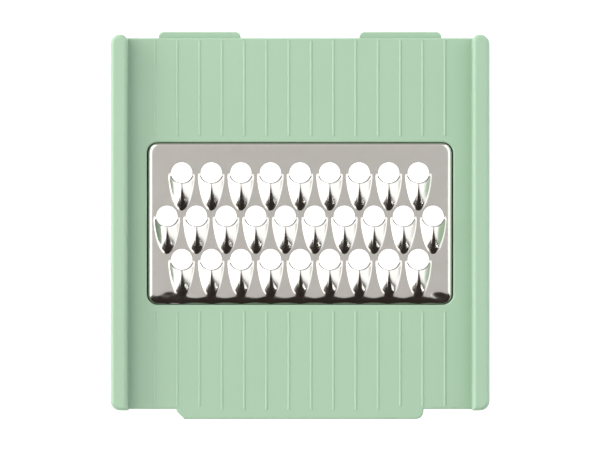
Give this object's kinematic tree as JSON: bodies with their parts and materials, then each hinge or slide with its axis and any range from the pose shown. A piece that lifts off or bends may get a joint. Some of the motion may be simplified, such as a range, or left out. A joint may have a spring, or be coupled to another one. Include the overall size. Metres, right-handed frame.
{
  "type": "mandoline grating insert",
  "caption": "Coarse grating insert for a mandoline slicer: pale green moulded frame with two guide rails around a pressed steel plate of domed cutting mouths.",
  "frame": {"origin": "middle of the whole footprint, on the resting face under the two rails", "axes": "+Z out of the food side, +Y towards the end with the two tabs, which is where the mouths open, +X across the rails"},
  "size_m": [0.1, 0.1026, 0.011],
  "materials": {
    "green_moulding": "satin moulded ABS",
    "clamp_moulding": "satin moulded ABS",
    "pressed_steel": "bright rolled stainless steel"
  },
  "bodies": {
    "root": {"front_frame": "green_moulding", "grating_plate": "pressed_steel", "rear_frame": "clamp_moulding"}
  },
  "joints": []
}
